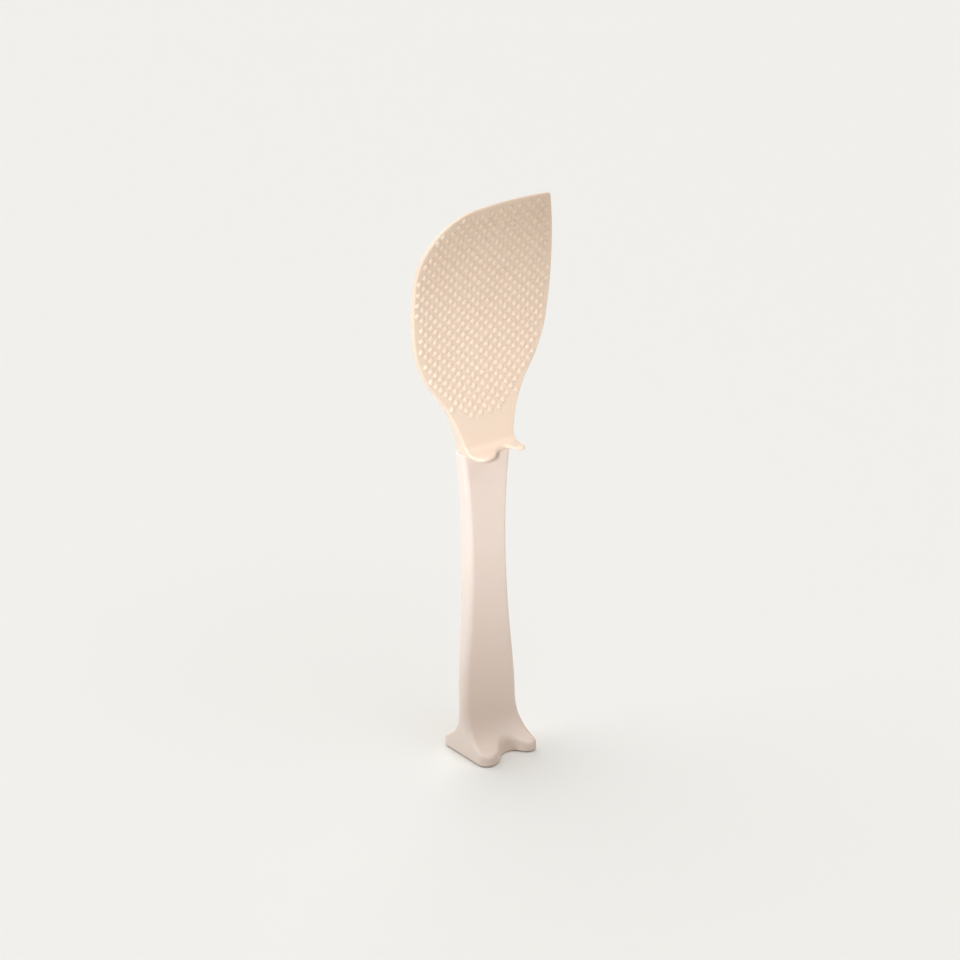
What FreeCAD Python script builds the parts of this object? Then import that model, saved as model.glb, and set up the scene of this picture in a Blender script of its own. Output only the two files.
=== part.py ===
"""Standing rice paddle: a nubbed, dished blade on a waisted grip that stands on its own two-toed foot.

Millimetres. The origin is the middle of the foot's underside, +Z is up and the dished face of
the blade looks along -Y. The blade's ledge sits on top of the grip, and its tang goes down inside.
"""
import FreeCAD, Part
import math
import os

# Blade outline in front view: both sides are alike up to the shoulder, and the crown ends in a corner
JOINT_Z = 123.0
NECK_HALF = 10.7
HIP_INSET = 9.4
HIP_Z = 148.8
BELLY_INSET = 1.2
BELLY_Z = 167.9
SIDE_HALF = 31.2
SIDE_Z = 184.0
SHOULDER_Z = 192.5
SHOULDER_INSET = 12.0
SHOULDER_END_Z = 214.4
CROWN_X = -7.4
CROWN_Z = 218.2
CORNER_INSET = 4.8
CORNER_Z = 216.9
CORNER_RADIUS = 1.5

# Blade in side view: the front is deepest at the bowl, and the blade thins towards its tip
BOWL_Y = 5.5
BOWL_Z = 163.5
BOWL_THICKNESS = 2.3
NECK_RADIUS = 150.0
TIP_RADIUS = 225.0
TIP_THICKNESS = 1.7
BACK_NECK_RADIUS = 620.0

# Nubs: a square grid turned 45 degrees, kept clear of the rim and rounded off above the neck
NUB_STEP = 2.1
NUB_BASE = 1.9
NUB_TOP = 1.0
NUB_HEIGHT = 0.6
NUB_ROOT = 0.2
NUB_RIM = 1.7
NUB_FIELD_Z = 137.4
NUB_FIELD_RADIUS = 24.0

# Ledge at the foot of the neck: a broad toe on the left, a narrow one on the right and a notch between
LEDGE_REACH = 9.4
LEDGE_THICKNESS = 1.4
LEDGE_LEFT_CORNER = 4.0
LEDGE_RIGHT_CORNER = 1.7
LEDGE_NOTCH_X = 4.0
LEDGE_NOTCH = 5.2
LEDGE_FLARE_RADIUS = 4.0

# Grip and foot in side view: the front is straight, the back swells a little for the palm
GRIP_FRONT_TOP = 2.0
GRIP_FRONT_FOOT = -0.3
GRIP_DEPTH_TOP = 5.5
GRIP_DEPTH_FOOT = 5.1
GRIP_SWELL = 1.3
FRONT_FLARE_Z = 18.5
BACK_FLARE_Z = 18.0
FOOT_FRONT = 12.7
FOOT_BACK = 12.7
FOOT_RIM = 4.4
GRIP_EDGE_RADIUS = 1.8
BACK_BEVELS = (30.0, 60.0)

# Grip in front view
GRIP_TOP_HALF = 11.4
WAIST_HALF = 8.8
WAIST_Z = 85.5
FLARE_TURN_Z = 40.5
FOOT_WIDE_Z = 12.3

# Foot from above: its toes and notch lie below those of the ledge
FOOT_HALF = 12.8
FOOT_LEFT_CORNER = 4.2
FOOT_RIGHT_CORNER = 2.1
FOOT_NOTCH_X = 2.2
FOOT_NOTCH = 5.4
FOOT_BACK_RADIUS = 2.2

# Tang of the blade and its socket in the grip
TANG_HALF = 5.0
TANG_THICKNESS = 2.0
TANG_LENGTH = 38.0
TANG_CLEARANCE = 0.1
TANG_END_GAP = 0.6

# Ballast plate and its cover, in a stepped pocket under the foot
POCKET_HALF = 9.0
POCKET_FRONT = 4.5
POCKET_BACK = 9.0
POCKET_CORNER = 1.5
WEIGHT_THICKNESS = 3.0
COVER_THICKNESS = 1.3
COVER_LAP = 0.9
POCKET_CLEARANCE = 0.1

# How far trimming bodies reach past what they trim, what counts as the same place and as a sharp edge
SPARE = 5.0
NEAR = 0.05
EDGE_TURN = 20.0

X_AXIS = FreeCAD.Vector(1, 0, 0)
Y_AXIS = FreeCAD.Vector(0, 1, 0)
Z_AXIS = FreeCAD.Vector(0, 0, 1)


def in_front_view(x, z):
    return FreeCAD.Vector(x, 0, z)


def in_side_view(y, z):
    return FreeCAD.Vector(0, y, z)


def from_above(x, y):
    return FreeCAD.Vector(x, y, 0)


def lines(points, place):
    """Straight edges through the points, in order."""
    return [Part.makeLine(place(*a), place(*b)) for a, b in zip(points, points[1:])]


def smooth_arcs(start, heading, stops, place):
    """Arcs that leave start at heading (degrees clockwise from up) and run smoothly through the stops."""
    edges = []
    for stop in stops:
        du, dv = stop[0] - start[0], stop[1] - start[1]
        chord = math.atan2(du, dv)
        bulge = math.hypot(du, dv) / 2 * math.tan((math.radians(heading) - chord) / 2)
        middle_u = (start[0] + stop[0]) / 2 + bulge * math.cos(chord)
        middle_v = (start[1] + stop[1]) / 2 - bulge * math.sin(chord)
        edges.append(Part.Arc(place(*start), place(middle_u, middle_v), place(*stop)).toShape())
        heading = 2 * math.degrees(chord) - heading
        start = stop
    return edges


def free_form(edges):
    """The same edges as free-form curves: pyramids meet the face drawn from them in short plain edges."""
    return [edge.Curve.toBSpline(*edge.ParameterRange).toShape() for edge in edges]


def flat_face(edges):
    """Flat face inside a closed outline, its edges in any order."""
    return Part.Face(Part.Wire(Part.__sortEdges__(edges)))


def prism(edges, axis, low, high):
    """Solid of a closed outline that runs from low to high along an axis."""
    face = flat_face(edges)
    face.translate(axis * low)
    return face.extrude(axis * (high - low))


def edges_along(solid, axis, choose):
    """Straight edges of a solid that run along an axis, where choose accepts their midpoint."""
    found = []
    for edge in solid.Edges:
        ends = edge.Vertexes
        if len(ends) == 2 and (ends[1].Point - ends[0].Point).cross(axis).Length < NEAR:
            if choose(edge.CenterOfMass):
                found.append(edge)
    return found


def sharp_edges(solid, low, high):
    """Edges between two heights where the faces on both sides turn by more than EDGE_TURN."""
    found = []
    for edge in solid.Edges:
        middle = edge.valueAt((edge.FirstParameter + edge.LastParameter) / 2)
        if not low < middle.z < high:
            continue
        normals = [face.normalAt(*face.Surface.parameter(middle))
                   for face in solid.ancestorsOfType(edge, Part.Face)]
        if len(normals) == 2 and math.degrees(normals[0].getAngle(normals[1])) > EDGE_TURN:
            found.append(edge)
    return found


def toed_outline(half, front, back, corners, notch):
    """Outline from above: straight sides and back, a round toe at each end of the front and a notch."""
    hollow = (notch[0], notch[1] - front)
    edges = []
    sides = []
    for corner, side in zip(corners, (-1, 1)):
        tip = (side * (half - corner), -front)
        halfway = ((tip[0] + hollow[0]) / 2, (hollow[1] - front) / 2)
        sides.append((side * half, corner - front))
        edges += smooth_arcs(tip, side * 90, [sides[-1]], from_above)
        edges += smooth_arcs(tip, -side * 90, [halfway, hollow], from_above)
    edges += lines([sides[0], (-half, back), (half, back), sides[1]], from_above)
    return edges


def dish(radius, deepest_y, z):
    """Y of a face at height z that is deepest beside the bowl and curves with this radius."""
    return deepest_y - radius + math.sqrt(radius ** 2 - (z - BOWL_Z) ** 2)


def blade_outline():
    """Front view of the blade from the joint up, a leaf with its point at the upper right."""
    edges = []
    for side in (1, -1):
        down = [(side * (SIDE_HALF - BELLY_INSET), BELLY_Z), (side * (SIDE_HALF - HIP_INSET), HIP_Z),
                (side * NECK_HALF, JOINT_Z)]
        edges += smooth_arcs((side * SIDE_HALF, SIDE_Z), 180, down, in_front_view)
    corner = (SIDE_HALF - CORNER_INSET, CORNER_Z)
    over = [(SHOULDER_INSET - SIDE_HALF, SHOULDER_END_Z), (CROWN_X, CROWN_Z), corner]
    edges += smooth_arcs((SIDE_HALF, SIDE_Z), 0, [corner], in_front_view)
    edges += smooth_arcs((-SIDE_HALF, SHOULDER_Z), 0, over, in_front_view)
    edges += lines([(-SIDE_HALF, SIDE_Z), (-SIDE_HALF, SHOULDER_Z)], in_front_view)
    edges += lines([(-NECK_HALF, JOINT_Z), (NECK_HALF, JOINT_Z)], in_front_view)
    return edges


def blade_section(low, high):
    """Side view of the blade between two heights beyond its ends."""
    back_y = BOWL_Y + BOWL_THICKNESS
    rise = CROWN_Z - BOWL_Z
    sag = back_y - TIP_THICKNESS - dish(TIP_RADIUS, BOWL_Y, CROWN_Z)
    back_tip_radius = (rise ** 2 + sag ** 2) / (2 * sag)
    faces = []
    ends = []
    for y, neck_radius, tip_radius in ((BOWL_Y, NECK_RADIUS, TIP_RADIUS),
                                       (back_y, BACK_NECK_RADIUS, back_tip_radius)):
        neck = (dish(neck_radius, y, low), low)
        tip = (dish(tip_radius, y, high), high)
        faces.append(smooth_arcs((y, BOWL_Z), 180, [neck], in_side_view)
                     + smooth_arcs((y, BOWL_Z), 0, [tip], in_side_view))
        ends.append((neck, tip))
    front, back = faces
    neck, tip = [lines(pair, in_side_view) for pair in zip(*ends)]
    return free_form(front) + back + neck + tip


def bare_blade():
    """Blade without nubs: its outline, with the corner rounded, carried through its section."""
    leaf = prism(blade_outline(), Y_AXIS, -SIDE_HALF, SIDE_HALF)
    corner = in_front_view(SIDE_HALF - CORNER_INSET, CORNER_Z)
    point = edges_along(leaf, Y_AXIS, lambda middle: (middle - corner).Length < NEAR)
    leaf = leaf.makeFillet(CORNER_RADIUS, point)
    reach = SIDE_HALF + SPARE
    section = prism(blade_section(JOINT_Z - SPARE, leaf.BoundBox.ZMax + SPARE), X_AXIS, -reach, reach)
    return section.common(leaf).Solids[0]


def ledge():
    """Toed plate at the neck's foot, with a hollow flare from the neck's front out onto the plate."""
    top_z = JOINT_Z + LEDGE_THICKNESS
    toe_y = GRIP_FRONT_TOP - LEDGE_REACH
    root_y = grip_middle(JOINT_Z)
    share = LEDGE_FLARE_RADIUS / NECK_RADIUS
    flare_z = (top_z + LEDGE_FLARE_RADIUS - share * BOWL_Z) / (1 - share)
    flare = (dish(NECK_RADIUS, BOWL_Y, flare_z), flare_z)
    lean = math.asin((BOWL_Z - flare_z) / NECK_RADIUS)
    flat = (flare[0] - LEDGE_FLARE_RADIUS * math.cos(lean), top_z)
    edges = smooth_arcs(flare, 180 + math.degrees(lean), [flat], in_side_view)
    edges += lines([flat, (toe_y, top_z), (toe_y, JOINT_Z), (root_y, JOINT_Z), (root_y, flare_z), flare],
                   in_side_view)
    plate = prism(edges, X_AXIS, -NECK_HALF - SPARE, NECK_HALF + SPARE)
    outline = toed_outline(NECK_HALF, -toe_y, root_y, (LEDGE_LEFT_CORNER, LEDGE_RIGHT_CORNER),
                           (LEDGE_NOTCH_X, LEDGE_NOTCH))
    return plate.common(prism(outline, Z_AXIS, JOINT_Z - SPARE, flare_z + SPARE))


def grip_middle(z):
    """Y of the middle of the grip's depth at height z, without the swell of its back."""
    share = (JOINT_Z - z) / (JOINT_Z - FRONT_FLARE_Z)
    top = GRIP_FRONT_TOP + GRIP_DEPTH_TOP / 2
    foot = GRIP_FRONT_FOOT + GRIP_DEPTH_FOOT / 2
    return top + (foot - top) * share


def tang(side_gap, end_gap, top_z):
    """Flat tongue along the middle of the grip, grown by the gaps for the socket that takes it."""
    low_z = JOINT_Z - TANG_LENGTH - end_gap
    reach = TANG_THICKNESS / 2 + side_gap
    corners = [(grip_middle(z) + side * reach, z) for side, z in
               ((-1, top_z), (-1, low_z), (1, low_z), (1, top_z), (-1, top_z))]
    return prism(lines(corners, in_side_view), X_AXIS, -TANG_HALF - side_gap, TANG_HALF + side_gap)


def nub():
    """One nub, a blunt pyramid that stands along -Y."""
    top, base = NUB_TOP / 2, NUB_BASE / 2
    return Part.makeWedge(-top, -NUB_HEIGHT, -top, -base, -base, top, NUB_ROOT, top, base, base)


def nub_places():
    """Grid points that lie clear of the rim and above the rounded lower end of the field."""
    leaf = flat_face(blade_outline())
    columns = int(SIDE_HALF / NUB_STEP)
    rows = int((leaf.BoundBox.ZMax - NUB_FIELD_Z) / NUB_STEP)
    places = []
    for row in range(rows + 1):
        z = NUB_FIELD_Z + row * NUB_STEP
        for column in range(-columns, columns + 1):
            x = column * NUB_STEP
            spot = in_front_view(x, z)
            low_z = NUB_FIELD_Z - NUB_STEP / 2 + x * x / (2 * NUB_FIELD_RADIUS)
            if (row + column) % 2 and z > low_z and leaf.isInside(spot, NEAR, True):
                if leaf.OuterWire.distToShape(Part.Vertex(spot))[0] > NUB_RIM:
                    places.append((x, z))
    return places


def nub_field():
    """Every nub, set square to the dished front of the blade, its sides towards its diagonal neighbours."""
    pattern = nub()
    turn = FreeCAD.Rotation(Y_AXIS, 45)
    field = []
    for x, z in nub_places():
        radius = TIP_RADIUS if z > BOWL_Z else NECK_RADIUS
        lean = math.degrees(math.asin((z - BOWL_Z) / radius))
        one = pattern.copy()
        one.Placement = FreeCAD.Placement(FreeCAD.Vector(x, dish(radius, BOWL_Y, z), z),
                                          FreeCAD.Rotation(X_AXIS, lean) * turn)
        field.append(one)
    return field


def blade():
    """The whole upper moulding: blade, neck, ledge, tang and nubs."""
    body = bare_blade().fuse([ledge(), tang(0, 0, JOINT_Z + LEDGE_THICKNESS)]).removeSplitter()
    return body.fuse(nub_field())


def grip_section():
    """Side view of grip and foot, with hollow flares to the foot's rim in front and behind."""
    front = (GRIP_FRONT_TOP, JOINT_Z), (GRIP_FRONT_FOOT, FRONT_FLARE_Z)
    back = (GRIP_FRONT_TOP + GRIP_DEPTH_TOP, JOINT_Z), (GRIP_FRONT_FOOT + GRIP_DEPTH_FOOT, BACK_FLARE_Z)
    rims = (-FOOT_FRONT, FOOT_RIM), (FOOT_BACK, FOOT_RIM)
    straight, chord = [math.degrees(math.atan2(low[0] - top[0], low[1] - top[1]))
                       for top, low in (front, back)]
    swell = math.degrees(2 * math.atan(2 * GRIP_SWELL / math.dist(*back)))
    edges = lines([rims[0], (-FOOT_FRONT, 0), (FOOT_BACK, 0), rims[1]], in_side_view)
    edges += smooth_arcs(back[0], chord - swell, [back[1], rims[1]], in_side_view)
    edges += lines([back[0], front[0], front[1]], in_side_view)
    edges += smooth_arcs(front[1], straight, [rims[0]], in_side_view)
    return edges


def grip_half(z):
    """Half width of the grip at the waist and above it, where it grows with the square of the height."""
    return WAIST_HALF + (GRIP_TOP_HALF - WAIST_HALF) * ((z - WAIST_Z) / (JOINT_Z - WAIST_Z)) ** 2


def turn_half():
    """Half width of the grip where its side turns from hollow to round, on the way to the foot."""
    return WAIST_HALF + (FOOT_HALF - WAIST_HALF) * (WAIST_Z - FLARE_TURN_Z) / (WAIST_Z - FOOT_WIDE_Z)


def grip_back(z):
    """Y of the grip's back at height z: a straight line with a swell in its middle."""
    share = (JOINT_Z - z) / (JOINT_Z - BACK_FLARE_Z)
    top = GRIP_FRONT_TOP + GRIP_DEPTH_TOP
    foot = GRIP_FRONT_FOOT + GRIP_DEPTH_FOOT
    return top + (foot - top) * share + 4 * GRIP_SWELL * share * (1 - share)


def grip_outline():
    """Front view of grip and foot, past both ends: wide at the foot, waisted, and wider at the joint."""
    top = (grip_half(JOINT_Z + SPARE), JOINT_Z + SPARE)
    edges = lines([(-top[0], top[1]), top], in_front_view)
    edges += lines([(-FOOT_HALF, -SPARE), (FOOT_HALF, -SPARE)], in_front_view)
    for side in (1, -1):
        waist = (side * WAIST_HALF, WAIST_Z)
        down = [(side * turn_half(), FLARE_TURN_Z), (side * FOOT_HALF, FOOT_WIDE_Z)]
        edges += smooth_arcs(waist, 0, [(side * top[0], top[1])], in_front_view)
        edges += smooth_arcs(waist, 180, down, in_front_view)
        edges += lines([down[-1], (side * FOOT_HALF, -SPARE)], in_front_view)
    return edges


def back_bevel(side, turn):
    """Body that trims a back edge of grip and foot to a flat, touching a rounding at a turn from its side."""
    across, back = math.cos(math.radians(turn)), math.sin(math.radians(turn))
    outward = FreeCAD.Vector(side * across, back, 0)
    lost = GRIP_EDGE_RADIUS * (across + back - 1)
    waist, top, turned, flare, rim = [
        (across * half + back * y - lost, z) for half, y, z in
        ((WAIST_HALF, grip_back(WAIST_Z), WAIST_Z),
         (grip_half(JOINT_Z + SPARE), grip_back(JOINT_Z + SPARE), JOINT_Z + SPARE),
         (turn_half(), grip_back(FLARE_TURN_Z), FLARE_TURN_Z),
         (FOOT_HALF, grip_back(BACK_FLARE_Z), BACK_FLARE_Z),
         (FOOT_HALF, FOOT_BACK, FOOT_RIM))]
    lean = math.degrees(math.atan(back * (grip_back(WAIST_Z + NEAR) - grip_back(WAIST_Z)) / NEAR))

    def place(out, z):
        return outward * out + Z_AXIS * z

    edges = smooth_arcs(waist, lean, [top], place)
    edges += smooth_arcs(waist, lean + 180, [turned, flare, rim], place)
    far = FOOT_HALF + max(FOOT_FRONT, FOOT_BACK) + SPARE
    edges += lines([rim, (rim[0], -SPARE), (-far, -SPARE), (-far, top[1]), top], place)
    return prism(edges, outward.cross(Z_AXIS), -far, far)


def grip_body():
    """Grip and foot without their hollows: the front's edges are rounded, those of the back bevelled."""
    section = prism(grip_section(), X_AXIS, -FOOT_HALF - SPARE, FOOT_HALF + SPARE)
    heel = FreeCAD.Vector(0, FOOT_BACK, FOOT_RIM)
    section = section.makeFillet(GRIP_EDGE_RADIUS, edges_along(
        section, X_AXIS, lambda middle: (middle - heel).Length < NEAR))
    outline = prism(grip_outline(), Y_AXIS, -FOOT_FRONT - SPARE, FOOT_BACK + SPARE)
    lean = math.atan((GRIP_FRONT_TOP - GRIP_FRONT_FOOT) / (JOINT_Z - FRONT_FLARE_Z))
    outline.rotate(in_side_view(GRIP_FRONT_TOP, JOINT_Z), X_AXIS, -math.degrees(lean))
    plan = prism(toed_outline(FOOT_HALF, FOOT_FRONT, FOOT_BACK, (FOOT_LEFT_CORNER, FOOT_RIGHT_CORNER),
                              (FOOT_NOTCH_X, FOOT_NOTCH)), Z_AXIS, -SPARE, JOINT_Z + SPARE)
    heels = edges_along(plan, Z_AXIS, lambda middle: middle.y > FOOT_BACK - NEAR)
    plan = plan.makeFillet(FOOT_BACK_RADIUS, heels)
    body = section.common(outline).common(plan).Solids[0]
    front = [edge for edge in sharp_edges(body, NEAR, JOINT_Z - NEAR)
             if edge.CenterOfMass.y < grip_middle(edge.CenterOfMass.z)]
    radius = min(GRIP_EDGE_RADIUS, 0.9 * min(FOOT_LEFT_CORNER, FOOT_RIGHT_CORNER))
    body = body.makeFillet(radius, front)
    for side in (1, -1):
        for turn in BACK_BEVELS:
            body = body.common(back_bevel(side, turn))
    return body


def pocket_plate(grow, low, high):
    """Plate with round corners in the foot's pocket, grown all round, between two heights."""
    half, front, back = POCKET_HALF + grow, -POCKET_FRONT - grow, POCKET_BACK + grow
    plate = Part.makeBox(2 * half, back - front, high - low, FreeCAD.Vector(-half, front, low))
    return plate.makeFillet(POCKET_CORNER + grow, edges_along(plate, Z_AXIS, lambda middle: True))


def handle():
    """The lower moulding: grip and foot with the tang's socket and the ballast's stepped pocket."""
    weight_top = COVER_THICKNESS + WEIGHT_THICKNESS + POCKET_CLEARANCE
    hollows = [tang(TANG_CLEARANCE, TANG_END_GAP, JOINT_Z + SPARE),
               pocket_plate(POCKET_CLEARANCE, -SPARE, weight_top),
               pocket_plate(COVER_LAP + POCKET_CLEARANCE, -SPARE, COVER_THICKNESS)]
    return grip_body().cut(hollows)


def base_weight():
    """Steel ballast plate that lies on the cover."""
    return pocket_plate(0, COVER_THICKNESS, COVER_THICKNESS + WEIGHT_THICKNESS)


def base_cover():
    """Cover that seats on the pocket's step, level with the foot's underside."""
    return pocket_plate(COVER_LAP, 0, COVER_THICKNESS)


os.makedirs("parts", exist_ok=True)
for make_piece in (blade, handle, base_weight, base_cover):
    piece = make_piece()
    piece.exportStep("parts/" + make_piece.__name__ + ".step")
    print(make_piece.__name__, piece.isValid(), len(piece.Solids), round(piece.Volume, 1))
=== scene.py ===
"""Looks of a standing rice paddle: a nubbed, dished blade on a waisted grip with a two-toed foot.

The paddle is built up as on a bench: ballast and cover, the handle moulding, the blade moulding
with its nubs, then the table, light and camera. Sizes are millimetres until a mesh is made.
"""

import bpy
import numpy as np
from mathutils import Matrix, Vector


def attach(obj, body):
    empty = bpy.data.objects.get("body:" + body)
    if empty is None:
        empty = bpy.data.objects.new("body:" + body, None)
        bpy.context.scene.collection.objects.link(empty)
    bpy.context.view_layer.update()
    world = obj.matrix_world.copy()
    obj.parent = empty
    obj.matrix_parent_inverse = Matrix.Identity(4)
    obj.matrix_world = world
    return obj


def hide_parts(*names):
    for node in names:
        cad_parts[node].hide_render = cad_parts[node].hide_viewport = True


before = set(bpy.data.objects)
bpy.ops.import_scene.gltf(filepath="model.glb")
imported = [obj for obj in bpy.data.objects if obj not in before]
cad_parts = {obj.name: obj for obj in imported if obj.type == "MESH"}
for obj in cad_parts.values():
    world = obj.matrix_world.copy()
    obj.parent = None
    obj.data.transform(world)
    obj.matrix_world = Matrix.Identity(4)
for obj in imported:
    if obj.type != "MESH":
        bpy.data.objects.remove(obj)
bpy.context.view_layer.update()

# Ballast: a plate blanked from rolled steel sheet that lies in the foot's pocket, out of sight.
# It keeps the tall, light paddle upright, and rests loose on the cover below it.
MM = 0.001
STEEL_PALE = "#A9ABAD"
STEEL_DARK = "#8E9093"
STEEL_ROUGHNESS = (0.30, 0.48)
ROLLING_STREAK = 0.4
STREAK_STRETCH = 20.0
# Places of a Mix node's factor, its two colours and its mixed colour among its sockets
MIX_SHARE, MIX_FIRST, MIX_SECOND, MIXED = 0, 6, 7, 2


def to_linear(colour):
    """Linear red, green, blue and alpha of an sRGB hex colour."""
    shares = np.array([int(colour[i:i + 2], 16) for i in (1, 3, 5)]) / 255
    linear = np.where(shares <= 0.04045, shares / 12.92, ((shares + 0.055) / 1.055) ** 2.4)
    return (*linear.tolist(), 1.0)


def bare_material(name):
    """Material without nodes, and the tree that its nodes go into."""
    material = bpy.data.materials.new(name)
    material.use_nodes = True
    material.node_tree.nodes.clear()
    return material, material.node_tree


def add(tree, kind, inputs, **settings):
    """A node of this kind with its settings; an input is a value or the output that feeds it."""
    node = tree.nodes.new(kind)
    for name, value in settings.items():
        setattr(node, name, value)
    for socket, value in inputs.items():
        if isinstance(value, bpy.types.NodeSocket):
            tree.links.new(value, node.inputs[socket])
        else:
            node.inputs[socket].default_value = value
    return node


def rolled_steel():
    """Cold-rolled sheet steel: a grey metal with fine streaks along the rolling direction."""
    material, tree = bare_material("cold_rolled_steel_sheet")
    place = add(tree, "ShaderNodeTexCoord", {}).outputs["Object"]
    stretched = add(tree, "ShaderNodeMapping", {"Vector": place, "Scale": (1 / STREAK_STRETCH, 1.0, 1.0)})
    streaks = add(tree, "ShaderNodeTexNoise", {
        "Vector": stretched.outputs["Vector"], "Scale": 1 / (ROLLING_STREAK * MM), "Detail": 3.0})
    tint = add(tree, "ShaderNodeMix", {
        MIX_SHARE: streaks.outputs["Fac"], MIX_FIRST: to_linear(STEEL_DARK),
        MIX_SECOND: to_linear(STEEL_PALE)}, data_type="RGBA")
    gloss = add(tree, "ShaderNodeMapRange", {
        "Value": streaks.outputs["Fac"], "To Min": STEEL_ROUGHNESS[0], "To Max": STEEL_ROUGHNESS[1]})
    shader = add(tree, "ShaderNodeBsdfPrincipled", {
        "Base Color": tint.outputs[MIXED], "Metallic": 1.0, "Roughness": gloss.outputs["Result"]})
    add(tree, "ShaderNodeOutputMaterial", {"Surface": shader.outputs["BSDF"]})
    return material


def dress(node, material):
    """Give a CAD piece its material, with its shape left as it is."""
    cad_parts[node].data.materials.clear()
    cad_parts[node].data.materials.append(material)


dress("base_weight", rolled_steel())

# Base cover: a flat plate moulded from the same polypropylene as the handle, pressed into the step of
# the foot's pocket. Its outside is spark-eroded matt, so that it doesn't show scuffs from the table.
COVER_FINISH = {"pale": "#EBDCCF", "dark": "#E3D2C3", "roughness": 0.55,
                "grain": 0.5, "grain_height": 0.02}
CLOUD_SIZE = 24.0
GLOSS_SPREAD = 0.05
GRAIN_STRENGTH = 0.6
PLASTIC_IOR = 1.49
SHEEN = {"Sheen Weight": 0.30, "Sheen Roughness": 0.45, "Sheen Tint": (1.0, 1.0, 1.0, 1.0)}
GLOW = {"Subsurface Weight": 0.12, "Subsurface Radius": (1.0, 0.7, 0.45), "Subsurface Scale": 1.2 * MM}


def moulded_plastic(name, pale, dark, roughness, grain, grain_height):
    """Moulded polypropylene: a waxy gloss with a pale sheen, a little light that sinks in, a faint
    cloudiness of the tint and a fine grain from the tool.

    A real tool's grain is about a tenth of a millimetre, too fine to show, so it is drawn coarser."""
    material, tree = bare_material(name)
    place = add(tree, "ShaderNodeTexCoord", {}).outputs["Object"]
    clouds = add(tree, "ShaderNodeTexNoise", {
        "Vector": place, "Scale": 1 / (CLOUD_SIZE * MM), "Detail": 4.0, "Roughness": 0.55})
    tint = add(tree, "ShaderNodeMix", {
        MIX_SHARE: clouds.outputs["Fac"], MIX_FIRST: to_linear(dark),
        MIX_SECOND: to_linear(pale)}, data_type="RGBA")
    tool_grain = add(tree, "ShaderNodeTexNoise", {
        "Vector": place, "Scale": 1 / (grain * MM), "Detail": 2.0, "Roughness": 0.6})
    gloss = add(tree, "ShaderNodeMapRange", {
        "Value": tool_grain.outputs["Fac"],
        "To Min": roughness - GLOSS_SPREAD, "To Max": roughness + GLOSS_SPREAD})
    bump = add(tree, "ShaderNodeBump", {
        "Height": tool_grain.outputs["Fac"], "Strength": GRAIN_STRENGTH, "Distance": grain_height * MM})
    shader = add(tree, "ShaderNodeBsdfPrincipled", {
        "Base Color": tint.outputs[MIXED], "Roughness": gloss.outputs["Result"], "IOR": PLASTIC_IOR,
        "Normal": bump.outputs["Normal"], **SHEEN, **GLOW})
    add(tree, "ShaderNodeOutputMaterial", {"Surface": shader.outputs["BSDF"]})
    return material


dress("base_cover", moulded_plastic("matt_moulded_polypropylene", **COVER_FINISH))

# Handle: grip and foot, one thick polypropylene moulding with a satin skin, waisted where the fingers
# close. Its front is flat with rounded edges, the back swells for the palm, and the foot flares to two
# toes. The blade's tang is pushed into a socket in its top, ballast and cover into a pocket below.
HANDLE_FINISH = {"pale": "#EED9C9", "dark": "#E9D2C1", "roughness": 0.40,
                 "grain": 0.45, "grain_height": 0.010}
JOINT_Z = 123.0
GRIP_FRONT_TOP = 2.0
GRIP_FRONT_FOOT = -0.3
GRIP_DEPTH_TOP = 5.5
GRIP_DEPTH_FOOT = 5.1
GRIP_SWELL = 1.3
FRONT_FLARE_Z = 18.5
BACK_FLARE_Z = 18.0
FOOT_FRONT = 12.7
FOOT_BACK = 12.7
FOOT_RIM = 4.4
GRIP_TOP_HALF = 11.4
WAIST_HALF = 8.8
WAIST_Z = 85.5
FLARE_TURN_Z = 40.5
FOOT_WIDE_Z = 12.3
FOOT_HALF = 12.8
FOOT_TOES = {"left": -8.6, "right": 10.7, "notch_x": 2.2, "notch": 5.4, "front": FOOT_FRONT}
HEEL_RADIUS = 2.2
EDGE_HEIGHTS = (5.0, 11.0, 22.0, JOINT_Z)
EDGE_RADII = (1.3, 2.8, 2.7, 1.9)
END_RADIUS = 0.4
SOLE_RADIUS = 1.0
SOCKET_HALF = 5.1
SOCKET_REACH = 1.1
SOCKET_FLOOR_Z = 84.4
COVER_SEAT = {"half": 10.0, "front": -5.5, "back": 10.0, "corner": 2.5}
COVER_SEAT_Z = 1.3
BALLAST_POCKET = {"half": 9.1, "front": -4.6, "back": 9.1, "corner": 1.6}
BALLAST_POCKET_Z = 4.4
# How finely the handle is drawn, and the points that its surface is looked for from
FRONT_COLUMNS = 96
SIDE_COLUMNS = 48
GRIP_ROWS = 68
GRIP_ROWS_FROM = JOINT_Z - 1.2
GRIP_ROWS_TO = FRONT_FLARE_Z + 0.5
TOP_INSETS = (0.90, 0.97, 0.99, 1.0)
TOP_DROPS = (0.12, 0.25, 0.4, 0.7)
GRIP_MIDDLE_BELOW_TOP = 1.5
FOOT_ROWS = 63
FOOT_CROWDING = 0.85
FOOT_MIDDLE = (FOOT_TOES["notch_x"], 1.0, 3.0)
RIM_DROPS = (0.1, 0.2, 0.3, 0.42, 0.55, 0.7, 0.82, 0.91, 0.97, 1.0)
SOLE_INSETS = (0.97, 0.93, 0.87)
SOLE_MIDDLE_Z = 1.2
HALVINGS = 36
SIDE_STEPS = 5
LEAST_FLATNESS = 0.4
CREASE_ANGLE = 38.0


def blend(a, b, share):
    """Straight blend from a to b."""
    return a + (b - a) * share


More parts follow.
